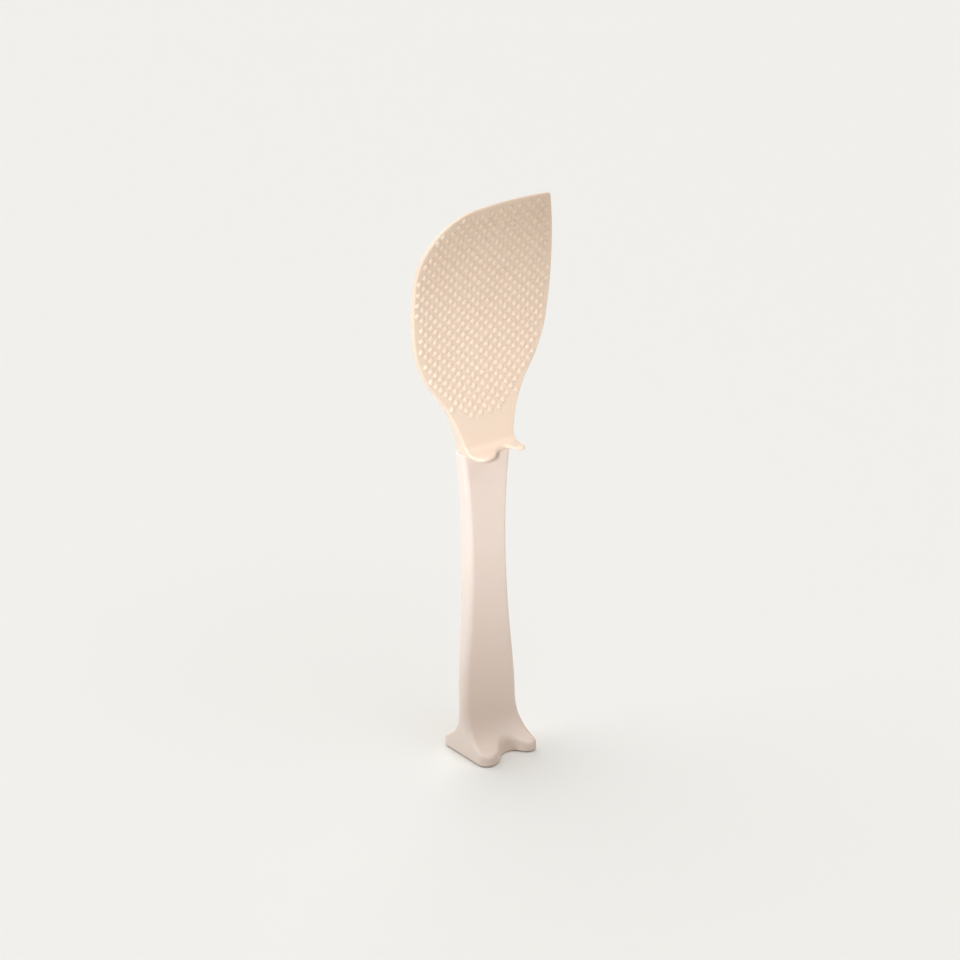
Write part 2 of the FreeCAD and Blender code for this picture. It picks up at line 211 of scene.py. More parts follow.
def arc_circle(start, heading, stop):
    """Middle and signed radius of the arc that leaves start at heading and passes through stop.

    Headings are degrees clockwise from up. The radius is half the squared chord over the stop's
    offset to the right, positive where the arc turns right."""
    turn = np.radians(heading)
    du, dv = stop[0] - start[0], stop[1] - start[1]
    radius = (du * du + dv * dv) / (2 * (du * np.cos(turn) - dv * np.sin(turn)))
    return start[0] + radius * np.cos(turn), start[1] - radius * np.sin(turn), radius


def right_of(u, v, circle):
    """How far points lie to the right of travel along an arc: its radius less their distance from
    its middle."""
    middle_u, middle_v, radius = circle
    return np.sign(radius) * (abs(radius) - np.hypot(u - middle_u, v - middle_v))


def heading_between(start, stop):
    """Heading of the straight line from start to stop, in degrees clockwise from up."""
    return np.degrees(np.arctan2(stop[0] - start[0], stop[1] - start[1]))


def rounded(a, b, radius):
    """Two depths, negative inside, met at an edge of this radius: the length of what passes the radius."""
    past = np.hypot(np.maximum(a + radius, 0), np.maximum(b + radius, 0))
    return np.minimum(np.maximum(a, b), -radius) + past


def toe_arc(x, half, toes):
    """Arc of a toed front edge that each x falls on: its middle, its radius, 1 on a toe or -1 in the
    notch, and whether x is beside a toe's outer corner."""
    toe = np.where(x < toes["notch_x"], toes["left"], toes["right"])
    run = np.abs(toe - toes["notch_x"]) / 2
    bend = (run ** 2 + (toes["notch"] / 2) ** 2) / toes["notch"]
    hollow = np.abs(x - toes["notch_x"]) < run
    outer = np.sign(x - toes["notch_x"]) * (x - toe) > 0
    radius = np.where(outer, half - np.abs(toe), bend)
    middle_x = np.where(hollow, toes["notch_x"], toe)
    middle_y = np.where(hollow, toes["notch"] - bend, radius) - toes["front"]
    return middle_x, middle_y, radius, np.where(hollow, -1.0, 1.0), outer


def toe_edge(x, half, toes):
    """Y of a toed front edge at x: the near side of its arc's circle, or the far side in the notch."""
    middle_x, middle_y, radius, side, _ = toe_arc(x, half, toes)
    return middle_y - side * np.sqrt(np.maximum(radius ** 2 - (x - middle_x) ** 2, 0))


def toe_depth(x, y, half, toes):
    """Depth behind a toed front edge: beside a toe's outer corner the distance from its circle, else
    the distance back from the edge, lessened where the edge is steep."""
    middle_x, middle_y, radius, side, outer = toe_arc(x, half, toes)
    height = np.sqrt(np.maximum(radius ** 2 - (x - middle_x) ** 2, 0))
    flatness = np.maximum(height / radius, LEAST_FLATNESS)
    corner = np.hypot(x - middle_x, np.minimum(y - middle_y, 0)) - radius
    return np.where(outer, corner, (middle_y - side * height - y) * flatness)


def perimeter(front_steps, side_steps):
    """Columns round a square from its front left corner, counter-clockwise from above, as p and q
    from -1 to 1."""
    front_ones, side_ones = np.ones_like(front_steps), np.ones_like(side_steps)
    p = np.concatenate([front_steps, side_ones, -front_steps, -side_ones])
    q = np.concatenate([-front_ones, side_steps, front_ones, -side_steps])
    return p, q


def eased(count):
    """Steps from -1 up to 1 that crowd at both ends: sines of even angles, without the last."""
    return np.sin(np.linspace(-np.pi / 2, np.pi / 2, count + 1)[:-1])


def place_rings(x, y, z):
    """Grid of points from three arrays that may each be one number, a column or a whole grid."""
    return np.stack(np.broadcast_arrays(x, y, z), axis=-1).astype(float)


def on_surface(depth, middle, cage):
    """Points where straight lines from middle through the cage leave a solid: the stretch from the
    middle to twice the cage's distance is halved again and again."""
    low = np.zeros(cage.shape[:-1])
    high = np.full(cage.shape[:-1], 2.0)
    for _ in range(HALVINGS):
        half = (low + high) / 2
        outside = depth(*np.moveaxis(middle + half[..., None] * (cage - middle), -1, 0)) > 0
        high = np.where(outside, half, high)
        low = np.where(outside, low, half)
    return middle + low[..., None] * (cage - middle)


def ring_faces(rows, columns):
    """Quads between rings that run downwards, each ring counter-clockwise from above."""
    here = np.arange(rows * columns).reshape(rows, columns)
    right = np.roll(here, -1, axis=1)
    return np.stack([here[:-1], here[1:], right[1:], right[:-1]], axis=-1).reshape(-1, 4)


def last_cap(rows, columns):
    """Corners of the flat face that closes the last ring: the ring backwards, so that it faces down."""
    return np.arange(rows * columns - 1, (rows - 1) * columns - 1, -1)


def smooth_object(name, points, faces, material):
    """Mesh object of points in millimetres, smooth except where faces turn sharply."""
    mesh = bpy.data.meshes.new(name)
    mesh.from_pydata((points * MM).tolist(), [], faces)
    mesh.polygons.foreach_set("use_smooth", np.ones(len(mesh.polygons), bool))
    mesh.set_sharp_from_angle(angle=np.radians(CREASE_ANGLE))
    mesh.materials.append(material)
    piece = bpy.data.objects.new(name, mesh)
    bpy.context.scene.collection.objects.link(piece)
    return piece


front_top, front_low = (GRIP_FRONT_TOP, JOINT_Z), (GRIP_FRONT_FOOT, FRONT_FLARE_Z)
back_top = (GRIP_FRONT_TOP + GRIP_DEPTH_TOP, JOINT_Z)
back_low = (GRIP_FRONT_FOOT + GRIP_DEPTH_FOOT, BACK_FLARE_Z)
back_chord = heading_between(back_top, back_low)
swell_turn = np.degrees(2 * np.arctan(2 * GRIP_SWELL / np.hypot(*np.subtract(back_low, back_top))))
front_flare = arc_circle(front_low, heading_between(front_top, front_low), (-FOOT_FRONT, FOOT_RIM))
back_swell = arc_circle(back_top, back_chord - swell_turn, back_low)
back_flare = arc_circle(back_low, back_chord + swell_turn, (FOOT_BACK, FOOT_RIM))
waist = (WAIST_HALF, WAIST_Z)
turn_share = (WAIST_Z - FLARE_TURN_Z) / (WAIST_Z - FOOT_WIDE_Z)
flare_turn = (blend(WAIST_HALF, FOOT_HALF, turn_share), FLARE_TURN_Z)
above_waist = arc_circle(waist, 0, (GRIP_TOP_HALF, JOINT_Z))
below_waist = arc_circle(waist, 180, flare_turn)
to_foot = arc_circle(flare_turn, 2 * heading_between(waist, flare_turn) - 180, (FOOT_HALF, FOOT_WIDE_Z))


def grip_front(z):
    """Y of the grip's flat front: a straight line from the joint to the flare."""
    return blend(GRIP_FRONT_TOP, GRIP_FRONT_FOOT, (JOINT_Z - z) / (JOINT_Z - FRONT_FLARE_Z))


def grip_middle(z):
    """Y of the middle of the grip's depth, without the swell of its back."""
    top = GRIP_FRONT_TOP + GRIP_DEPTH_TOP / 2
    return blend(top, GRIP_FRONT_FOOT + GRIP_DEPTH_FOOT / 2, (JOINT_Z - z) / (JOINT_Z - FRONT_FLARE_Z))


def grip_back(z):
    """Y of the grip's swelling back: steps towards its arc until the distance is nothing."""
    back = np.zeros_like(z)
    for _ in range(SIDE_STEPS):
        back = back + right_of(back, z, back_swell)
    return back


def grip_side_depth(x, z):
    """Depth behind the grip's waisted side, arc by arc."""
    arcs = [right_of(x, z, above_waist), -right_of(x, z, below_waist), -right_of(x, z, to_foot)]
    return np.select([z > WAIST_Z, z > FLARE_TURN_Z, z > FOOT_WIDE_Z], arcs, x - FOOT_HALF)


def grip_half(z):
    """Half width of the grip: steps towards the side until its depth is nothing."""
    half = np.full_like(z, WAIST_HALF)
    for _ in range(SIDE_STEPS):
        half = half - grip_side_depth(half, z)
    return half


def handle_depth(x, y, z):
    """Depth in the handle: front and back meet the sides at rounded edges, and so do the flat ends."""
    front = np.where(z > FRONT_FLARE_Z, grip_front(z) - y, right_of(y, z, front_flare))
    back = np.where(z > BACK_FLARE_Z, -right_of(y, z, back_swell), -right_of(y, z, back_flare))
    plan = np.maximum(toe_depth(x, y, FOOT_HALF, FOOT_TOES),
                      rounded(np.abs(x) - FOOT_HALF, y - FOOT_BACK, HEEL_RADIUS))
    walls = np.maximum(grip_side_depth(np.abs(x), z), plan)
    body = rounded(np.maximum(front, back), walls, np.interp(z, EDGE_HEIGHTS, EDGE_RADII))
    return rounded(rounded(body, z - JOINT_Z, END_RADIUS), -z, SOLE_RADIUS)


def grip_rings(p, q):
    """Rings of the grip: outwards over its flat top, round the top's edge and down to the flare."""
    insets = np.array(TOP_INSETS)
    drops = JOINT_Z - np.concatenate([np.zeros_like(insets), TOP_DROPS])
    heights = np.concatenate([drops, np.linspace(GRIP_ROWS_FROM, GRIP_ROWS_TO, GRIP_ROWS)])[:, None]
    shrink = np.ones_like(heights)
    shrink[:len(insets), 0] = insets
    front, back = grip_front(heights), grip_back(heights)
    centre, reach = (front + back) / 2, (back - front) / 2
    cage = place_rings(grip_half(heights) * shrink * p, centre + reach * shrink * q, heights)
    middle = place_rings(0, centre, np.minimum(heights, JOINT_Z - GRIP_MIDDLE_BELOW_TOP))
    return on_surface(handle_depth, middle, cage)


def along_flare(flare, low, end, step):
    """Y and Z down a flare's arc, at shares of its turn from its upper end to the Y where it stops."""
    middle_y, middle_z, radius = flare
    first = np.arcsin((middle_z - low[1]) / abs(radius))
    last = np.arccos(np.clip(np.abs(end - middle_y) / abs(radius), 0, 1))
    turn = blend(first, last, step)
    return middle_y + radius * np.cos(turn), middle_z - abs(radius) * np.sin(turn)


def foot_cage(step, p, q):
    """Rough rings of the foot, from 0 at the grip to 1 at its rim: front and back follow their flares."""
    wide = blend(grip_half(np.array([[GRIP_ROWS_TO]])), FOOT_HALF, np.sqrt(step))
    edge_y = toe_edge(FOOT_HALF * p, FOOT_HALF, FOOT_TOES)
    front_y, front_z = along_flare(front_flare, front_low, edge_y, step)
    back_y, back_z = along_flare(back_flare, back_low, FOOT_BACK, step)
    share = (q + 1) / 2
    return place_rings(wide * p, blend(front_y, back_y, share), blend(front_z, back_z, share))


def foot_rings(p, q):
    """Rings of the foot: down its flares to the rim, down the rim, and inwards under the sole."""
    foot_x, foot_y, foot_z = FOOT_MIDDLE
    step = (np.linspace(0, 1, FOOT_ROWS + 1)[1:] ** FOOT_CROWDING)[:, None]
    cage = foot_cage(step, p, q)
    low = np.array([GRIP_ROWS_TO])
    centre = ((grip_front(low) + grip_back(low)) / 2)[0]
    middle = place_rings(foot_x * step, blend(centre, foot_y, step), blend(GRIP_ROWS_TO, foot_z, step))
    flare = on_surface(handle_depth, middle, cage)

    drop = np.concatenate([RIM_DROPS, np.ones(len(SOLE_INSETS))])[:, None]
    shrink = np.concatenate([np.ones(len(RIM_DROPS)), SOLE_INSETS])[:, None]
    rim_x, rim_y, rim_z = np.moveaxis(cage[-1], -1, 0)
    cage = place_rings(blend(foot_x, rim_x, shrink), blend(foot_y, rim_y, shrink), blend(rim_z, 0.0, drop))
    middle = place_rings(foot_x, foot_y, blend(foot_z, SOLE_MIDDLE_Z, drop))
    return np.concatenate([flare, on_surface(handle_depth, middle, cage)])


def seat_ring(seat, z, p, q):
    """Ring round a pocket at height z: a rectangle whose corners have the seat's radius."""
    middle = (seat["front"] + seat["back"]) / 2
    reach = (seat["back"] - seat["front"]) / 2

    def seat_depth(x, y, _):
        """Depth in the pocket's outline: two pairs of straight walls that meet at round corners."""
        return rounded(np.abs(x) - seat["half"], np.abs(y - middle) - reach, seat["corner"])

    cage = place_rings(seat["half"] * p, middle + reach * q, z)[None]
    return on_surface(seat_depth, np.array([0, middle, z]), cage)


def tongue_ring(half, reach, z, p, q):
    """Rectangular ring round the tang's place in the grip at height z."""
    return place_rings(half * p, grip_middle(z) + reach * q, z)[None]


def handle_rings():
    """Rings of the handle, from the socket's floor out over grip and foot into the pocket below."""
    p, q = perimeter(eased(FRONT_COLUMNS), eased(SIDE_COLUMNS))
    socket = [tongue_ring(SOCKET_HALF, SOCKET_REACH, z, p, q) for z in (SOCKET_FLOOR_Z, JOINT_Z)]
    pocket = [seat_ring(COVER_SEAT, z, p, q) for z in (0.0, COVER_SEAT_Z)]
    pocket += [seat_ring(BALLAST_POCKET, z, p, q) for z in (COVER_SEAT_Z, BALLAST_POCKET_Z)]
    return np.concatenate([*socket, grip_rings(p, q), foot_rings(p, q), *pocket])


handle_grid = handle_rings()
handle_size = handle_grid.shape[:2]
socket_floor = list(range(handle_size[1]))
handle_faces = ring_faces(*handle_size).tolist() + [socket_floor, last_cap(*handle_size).tolist()]
handle_plastic = moulded_plastic("satin_moulded_polypropylene", **HANDLE_FINISH)
handle = smooth_object("paddle_handle", handle_grid.reshape(-1, 3), handle_faces, handle_plastic)
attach(handle, "root")
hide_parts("handle")

# Blade: a leaf-shaped polypropylene moulding, dished to the front, that thickens to a neck above the
# joint. A thin two-toed ledge flares out of the neck over the grip, and a flat tang below it sits in
# the handle's socket.
BLADE_FINISH = {"pale": "#EDD4BC", "dark": "#E8CCB2", "roughness": 0.32,
                "grain": 0.45, "grain_height": 0.008}
NECK_HALF = 10.7
HIP = (21.8, 148.8)
BELLY = (30.0, 167.9)
SIDE_HALF = 31.2
SIDE_Z = 184.0
SHOULDER_Z = 192.5
SHOULDER_END = (-19.2, 214.4)
CROWN = (-7.4, 218.2)
CORNER = (26.4, 216.9)
CORNER_RADIUS = 1.5
BOWL_Y = 5.5
BOWL_Z = 163.5
BOWL_THICKNESS = 2.3
FRONT_RADII = (150.0, 225.0)
BACK_RADII = (620.0, 207.2)
RIM_RADIUS = 0.8
LEDGE_RIM_RADIUS = 0.6
LEDGE_REACH = 9.4
LEDGE_THICKNESS = 1.4
LEDGE_FLARE_RADIUS = 4.0
LEDGE_TOES = {"left": -6.7, "right": 9.0, "notch_x": 4.0, "notch": 5.2,
              "front": LEDGE_REACH - GRIP_FRONT_TOP}
NECK_RING_Z = 131.0
TANG_HALF = 5.0
TANG_REACH = 1.0
TANG_END_Z = 85.0
# How finely the blade is drawn, and the point that the ledge's surface is looked for from
ARC_STEPS = 60
LEAF_CLIMBS = np.concatenate([np.linspace(1, 0.12, 60), np.linspace(0.1, 0, 6)])
CROWN_BEND = 3
BLADE_RIM_STEPS = 24
CROWN_RIM_STEPS = 16
NECK_ROWS = 4
FLARE_ROWS = 19
LEDGE_ROWS = 21
NECK_SHARE = 0.25
LEDGE_CROWDING = 0.8
LEDGE_MIDDLE = (LEDGE_TOES["notch_x"], 2.6, JOINT_Z + 0.75)
LEDGE_DROPS = (0.12, 0.25, 0.4, 0.55, 0.7, 0.82, 0.92, 1.0)
UNDERSIDE_INSETS = (0.97, 0.9)
SEAM_GAP = 1e-4
HEIGHT_HAIR = 1e-9


def dish(radii, deepest, z):
    """Y of a face that is deepest beside the bowl: a circle of one radius below it and another above."""
    radius = np.where(z > BOWL_Z, radii[1], radii[0])
    return deepest - radius + np.sqrt(radius ** 2 - (z - BOWL_Z) ** 2)


def blade_front(z):
    """Y of the blade's hollow front face."""
    return dish(FRONT_RADII, BOWL_Y, z)


def blade_back(z):
    """Y of the blade's back, which starts one wall behind the bowl and has its own radii."""
    return dish(BACK_RADII, BOWL_Y + BOWL_THICKNESS, z)


def arc_chain(start, heading, stops):
    """Points along arcs that leave start at heading and run smoothly through the stops, and the last
    heading. An arc turns by twice the angle between its first heading and its chord."""
    points = [np.array([start])]
    for stop in stops:
        middle_u, middle_v, radius = arc_circle(start, heading, stop)
        sweep = 2 * ((heading_between(start, stop) - heading + 180) % 360 - 180)
        turn = np.radians(heading + sweep * np.linspace(0, 1, ARC_STEPS + 1)[1:])
        arc = (middle_u - radius * np.cos(turn), middle_v + radius * np.sin(turn))
        points.append(np.stack(arc, axis=-1))
        heading += sweep
        start = stop
    return np.concatenate(points), heading


def along(points, shares):
    """Points and directions at these shares of a line's length."""
    steps = np.hypot(*np.diff(points, axis=0).T)
    length = np.concatenate([[0], np.cumsum(steps)]) / steps.sum()
    place = np.stack([np.interp(shares, length, points[:, k]) for k in (0, 1)], axis=-1)
    slope = np.gradient(points, length, axis=0)
    heading = np.stack([np.interp(shares, length, slope[:, k]) for k in (0, 1)], axis=-1)
    return place, heading / np.linalg.norm(heading, axis=-1, keepdims=True)


lower_side, _ = arc_chain((SIDE_HALF, SIDE_Z), 180, (BELLY, HIP, (NECK_HALF, JOINT_Z)))
lower_side = lower_side[::-1]
upper_right, right_heading = arc_chain((SIDE_HALF, SIDE_Z), 0, (CORNER,))
shoulder, shoulder_heading = arc_chain((-SIDE_HALF, SHOULDER_Z), 0, (SHOULDER_END,))
_, crown_heading = arc_chain(SHOULDER_END, shoulder_heading, (CROWN, CORNER))
tangent = CORNER_RADIUS * np.tan(np.radians(180 + right_heading - crown_heading) / 2)


def from_corner(heading):
    """Where the corner's rounding meets an edge that leaves the corner at heading."""
    turn = np.radians(heading)
    return CORNER[0] + tangent * np.sin(turn), CORNER[1] + tangent * np.cos(turn)


corner_start, corner_end = from_corner(crown_heading + 180), from_corner(right_heading + 180)
crown, _ = arc_chain(SHOULDER_END, shoulder_heading, (CROWN, corner_start, corner_end))
left_side = np.concatenate([lower_side * (-1, 1), shoulder])
right_side = np.concatenate([lower_side, upper_right[upper_right[:, 1] < corner_end[1]][1:], [corner_end]])


def side_at(side, z):
    """Points of a blade side at heights z, with the direction upwards along it.

    Heights are spread by a hair, so that two points on one level don't divide by nothing."""
    slope = np.gradient(side[:, 0], side[:, 1] + np.arange(len(side)) * HEIGHT_HAIR)
    x, lean = (np.interp(z, side[:, 1], values) for values in (side[:, 0], slope))
    up = np.stack([lean, np.ones_like(lean)], axis=-1)
    return np.stack([x, z], axis=-1), up / np.linalg.norm(up, axis=-1, keepdims=True)


def right_hand(direction):
    """Directions turned a quarter clockwise, which on the way round the outline point into the leaf."""
    return np.stack([direction[:, 1], -direction[:, 0]], axis=-1)


def rim_profile(q, point, inward):
    """Rim of the blade from front to back: a quarter round, a straight wall and a quarter round.

    q runs from -1 at the front face to 1 at the back, a third for each stretch."""
    front_turn = np.pi / 2 * np.clip(-1.5 * q - 0.5, 0, 1)
    back_turn = np.pi / 2 * np.clip(1.5 * q - 0.5, 0, 1)
    wall = np.clip(1.5 * q + 0.5, 0, 1)
    inset = RIM_RADIUS * (2 - np.cos(front_turn) - np.cos(back_turn))
    place = point + inward * inset[..., None]
    front, back = blade_front(place[..., 1]), blade_back(place[..., 1])
    y = blend(front + RIM_RADIUS, back - RIM_RADIUS, wall)
    y = y - RIM_RADIUS * np.sin(front_turn) + RIM_RADIUS * np.sin(back_turn)
    return place_rings(place[..., 0], y, place[..., 1])


def leaf_rings(p, q):
    """Rings of the leaf from its crown down to the neck, and the strip of rim along the crown.

    A ring crosses the front, one rim, the back and the other rim. Front and back rows blend the left
    side into the right one and bend up to the crown's own line."""
    left, left_up = side_at(left_side, blend(NECK_RING_Z, SHOULDER_END[1], LEAF_CLIMBS))
    right, right_up = side_at(right_side, blend(NECK_RING_Z, corner_end[1], LEAF_CLIMBS))
    share = (p + 1) / 2
    top, top_along = along(crown, share)
    left_in, right_in, top_in = right_hand(left_up), -right_hand(right_up), right_hand(top_along)
    left_edge, right_edge = left + left_in * RIM_RADIUS, right + right_in * RIM_RADIUS
    bulge = top + top_in * RIM_RADIUS - blend(left_edge[0], right_edge[0], share[:, None])
    flat = blend(left_edge[:, None], right_edge[:, None], share[None, :, None])
    flat = flat + bulge[None] * (LEAF_CLIMBS ** CROWN_BEND)[:, None, None]
    front = place_rings(flat[..., 0], blade_front(flat[..., 1]), flat[..., 1])
    back = place_rings(flat[..., 0], blade_back(flat[..., 1]), flat[..., 1])
    right_rim = rim_profile(q[None], right[:, None], right_in[:, None])
    left_rim = rim_profile(-q[None], left[:, None], left_in[:, None])
    rings = np.concatenate([front[:, :-1], right_rim[:, :-1], back[:, :0:-1], left_rim[:, :-1]], axis=1)
    across = np.linspace(-1, 1, CROWN_RIM_STEPS + 1)
    return rings, rim_profile(across[:, None], top[None], top_in[None])


flare_share = LEDGE_FLARE_RADIUS / FRONT_RADII[0]
ledge_top = JOINT_Z + LEDGE_THICKNESS
flare_z = (ledge_top + LEDGE_FLARE_RADIUS - flare_share * BOWL_Z) / (1 - flare_share)
flare_lean = np.arcsin((BOWL_Z - flare_z) / FRONT_RADII[0])
flat_y = blade_front(flare_z) - LEDGE_FLARE_RADIUS * np.cos(flare_lean)


def neck_half(z):
    """Half width of the neck at height z, read off the blade's lower side."""
    return np.interp(z, lower_side[:, 1], lower_side[:, 0])


def neck_depth(x, y, z):
    """Depth in neck and ledge: the neck's front runs through a hollow flare onto the ledge's flat top,
    and the ledge ends at its toed edge."""
    flare = LEDGE_FLARE_RADIUS - np.hypot(y - flat_y, z - ledge_top - LEDGE_FLARE_RADIUS)
    front = np.where(z > flare_z, blade_front(z) - y, np.where(y < flat_y, z - ledge_top, flare))
    section = np.maximum(front, y - blade_back(z))
    half = neck_half(z)
    walls = np.maximum(toe_depth(x, y, half, LEDGE_TOES), np.abs(x) - half)
    rim = np.interp(y, (flat_y, blade_front(flare_z)), (LEDGE_RIM_RADIUS, RIM_RADIUS))
    return rounded(rounded(section, walls, rim), JOINT_Z - z, END_RADIUS)


def ledge_front(p):
    """Y and Z of the front, row by row: down the neck, round the flare and out to the toed edge."""
    neck_z = np.linspace(NECK_RING_Z, flare_z, NECK_ROWS + 1)[1:, None]
    turn = np.linspace(flare_lean, np.pi / 2, FLARE_ROWS + 1)[1:, None]
    reach = (np.linspace(0, 1, LEDGE_ROWS + 1)[1:] ** LEDGE_CROWDING)[:, None]
    edge_y = toe_edge(NECK_HALF * p, NECK_HALF, LEDGE_TOES)
    columns = np.ones_like(p)
    y = np.concatenate([blade_front(neck_z) * columns,
                        (flat_y + LEDGE_FLARE_RADIUS * np.cos(turn)) * columns,
                        blend(flat_y, edge_y, reach)])
    z = np.concatenate([neck_z, ledge_top + LEDGE_FLARE_RADIUS * (1 - np.sin(turn)),
                        np.full_like(reach, ledge_top)])
    return y, z


def ledge_rings(ring):
    """Rings from the neck's last ring down over the flare and the ledge's top, round its rim and
    underneath."""
    front, back = blade_front(NECK_RING_Z), blade_back(NECK_RING_Z)
    p = ring[:, 0] / neck_half(NECK_RING_Z)
    share = np.clip((ring[:, 1] - front) / (back - front), 0, 1)
    front_y, front_z = ledge_front(p)
    back_z = np.linspace(NECK_RING_Z, ledge_top, len(front_z) + 1)[1:, None]
    z = blend(front_z, back_z, share)
    cage = place_rings(neck_half(z) * p, blend(front_y, blade_back(back_z), share), z)
    down = np.concatenate([np.linspace(0, NECK_SHARE, NECK_ROWS + 1)[1:],
                           np.linspace(NECK_SHARE, 1, FLARE_ROWS + 1)[1:], np.ones(LEDGE_ROWS)])[:, None]
    middle_x, middle_y, middle_z = LEDGE_MIDDLE
    middle = place_rings(middle_x * down, blend((front + back) / 2, middle_y, down),
                         blend(NECK_RING_Z, middle_z, down))
    over = on_surface(neck_depth, middle, cage)

    drop = np.concatenate([LEDGE_DROPS, np.ones(len(UNDERSIDE_INSETS))])[:, None]
    shrink = np.concatenate([np.ones(len(LEDGE_DROPS)), UNDERSIDE_INSETS])[:, None]
    rim_x, rim_y, rim_z = np.moveaxis(cage[-1], -1, 0)
    cage = place_rings(blend(middle_x, rim_x, shrink), blend(middle_y, rim_y, shrink),
                       blend(rim_z, JOINT_Z, drop))
    return np.concatenate([over, on_surface(neck_depth, np.array(LEDGE_MIDDLE), cage)])


def sheet_faces(rows, columns):
    """Quads of an open grid."""
    here = np.arange(rows * columns).reshape(rows, columns)
    return np.stack([here[:-1, :-1], here[:-1, 1:], here[1:, 1:], here[1:, :-1]], axis=-1).reshape(-1, 4)


def sewn(points, quads, cap):
    """Skin whose points within a hair of each other are made one: a quad that loses a corner by it
    becomes a triangle, and one that loses two goes."""
    spots = np.round(points / SEAM_GAP).astype(np.int64)
    _, keep, same = np.unique(spots, axis=0, return_index=True, return_inverse=True)
    same = same.ravel()
    quads = same[quads]
    fresh = quads != np.roll(quads, 1, axis=1)
    corners = fresh.sum(axis=1)
    triangles = quads[corners == 3][fresh[corners == 3]].reshape(-1, 3)
    return points[keep], quads[corners == 4].tolist() + triangles.tolist() + [same[cap].tolist()]


def blade_skin():
    """Points and faces of the whole blade: leaf, neck, ledge and tang in rings, with the crown's rim
    sewn on."""
    columns, rim_steps = np.append(eased(FRONT_COLUMNS), 1.0), np.linspace(-1, 1, BLADE_RIM_STEPS + 1)
    leaf, strip = leaf_rings(columns, rim_steps)
    p, q = perimeter(columns[:-1], rim_steps[:-1])
    tang = [tongue_ring(TANG_HALF, TANG_REACH, z, p, q) for z in (JOINT_Z, TANG_END_Z)]
    rings = np.concatenate([leaf, ledge_rings(leaf[-1]), *tang])
    size, ring_points, strip_points = rings.shape[:2], rings.reshape(-1, 3), strip.reshape(-1, 3)
    quads = np.concatenate([ring_faces(*size), sheet_faces(*strip.shape[:2]) + len(ring_points)])
    return sewn(np.concatenate([ring_points, strip_points]), quads, last_cap(*size))


blade_plastic = moulded_plastic("satin_moulded_polypropylene_blade", **BLADE_FINISH)
blade = smooth_object("paddle_blade", *blade_skin(), blade_plastic)
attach(blade, "root")
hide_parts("blade")

# Nubs: small blunt pyramids moulded in one shot with the blade, on a square grid turned 45 degrees.
# They hold the rice off the face, so that it drops off; the grid keeps clear of the rim and the neck.
NUB_STEP = 2.1
NUB_BASE = 2.1
NUB_HEIGHT = 0.7
NUB_ROOT = 0.2
NUB_RIM = 1.7
NUB_FIELD_Z = 137.4
NUB_FIELD_RADIUS = 24.0
NUB_SIDES = 12
NUB_SQUARENESS = 1.5
NUB_FULLNESS = 1.25
# Share of the base's width and height above the face, level by level
NUB_LEVELS = ((1.0, -NUB_ROOT), (0.97, 0.10), (0.84, 0.42), (0.70, 0.60), (0.46, NUB_HEIGHT))


def nub_places():
    """X and Z of the grid points in the leaf that are clear of the rim and above the field's round
    lower end. A point is in the leaf if a line from it to the right crosses the outline an odd number
    of times."""
    columns = np.arange(-int(SIDE_HALF / NUB_STEP), int(SIDE_HALF / NUB_STEP) + 1)
    rows = np.arange(int((CROWN[1] - NUB_FIELD_Z) / NUB_STEP) + 2)
    row, column = (grid.ravel() for grid in np.meshgrid(rows, columns, indexing="ij"))
    x, z = column * NUB_STEP, NUB_FIELD_Z + row * NUB_STEP
    outline = np.concatenate([left_side, crown[1:], right_side[::-1]])
    rim_x, rim_z = outline[:, 0], outline[:, 1]
    gap = np.hypot(x[:, None] - rim_x, z[:, None] - rim_z).min(axis=1)
    crosses = (rim_z[:-1] > z[:, None]) != (rim_z[1:] > z[:, None])
    run, rise = np.diff(rim_x), np.diff(rim_z)
    reach = rim_x[:-1] + (z[:, None] - rim_z[:-1]) * run / np.where(rise == 0, 1, rise)
    inside = (crosses & (x[:, None] < reach)).sum(axis=1) % 2 == 1
    low_z = NUB_FIELD_Z - NUB_STEP / 2 + x * x / (2 * NUB_FIELD_RADIUS)
    keep = inside & (gap > NUB_RIM) & (z > low_z) & ((row + column) % 2 == 1)
    return x[keep], z[keep]


def nub_field():
    """Every nub as rings of one rounded square, smaller with height, set square to the dished face."""
    share, height = np.array(NUB_LEVELS).T[..., None]
    turn = np.arange(NUB_SIDES) * 2 * np.pi / NUB_SIDES
    bulge = np.abs(np.cos(turn)) ** NUB_SQUARENESS + np.abs(np.sin(turn)) ** NUB_SQUARENESS
    out = NUB_BASE / 2 * NUB_FULLNESS * share * bulge ** (-1 / NUB_SQUARENESS)
    across, upward = out * np.cos(turn), out * np.sin(turn)
    x, z = (place[:, None, None] for place in nub_places())
    lean = np.arcsin((z - BOWL_Z) / np.where(z > BOWL_Z, FRONT_RADII[1], FRONT_RADII[0]))
    y = blade_front(z) - height * np.cos(lean) - upward * np.sin(lean)
    points = place_rings(x + across, y, z + upward * np.cos(lean) - height * np.sin(lean))
    here = np.arange(points[..., 0].size).reshape(points.shape[:-1])
    right = np.roll(here, -1, axis=2)
    walls = np.stack([here[:, :-1], right[:, :-1], right[:, 1:], here[:, 1:]], axis=-1).reshape(-1, 4)
    return points.reshape(-1, 3), walls.tolist() + here[:, -1].tolist()


nubs = smooth_object("blade_nubs", *nub_field(), blade_plastic)
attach(nubs, "root")

# Table: a plain pale board with a matt lacquer, wide enough to fill the view, on which the paddle
# stands. It lies a hair below the paddle's sole, so that the two don't share a plane.
TABLE_PALE = "#F0EFEB"
TABLE_SIZE = 12000.0
TABLE_DROP = 0.05


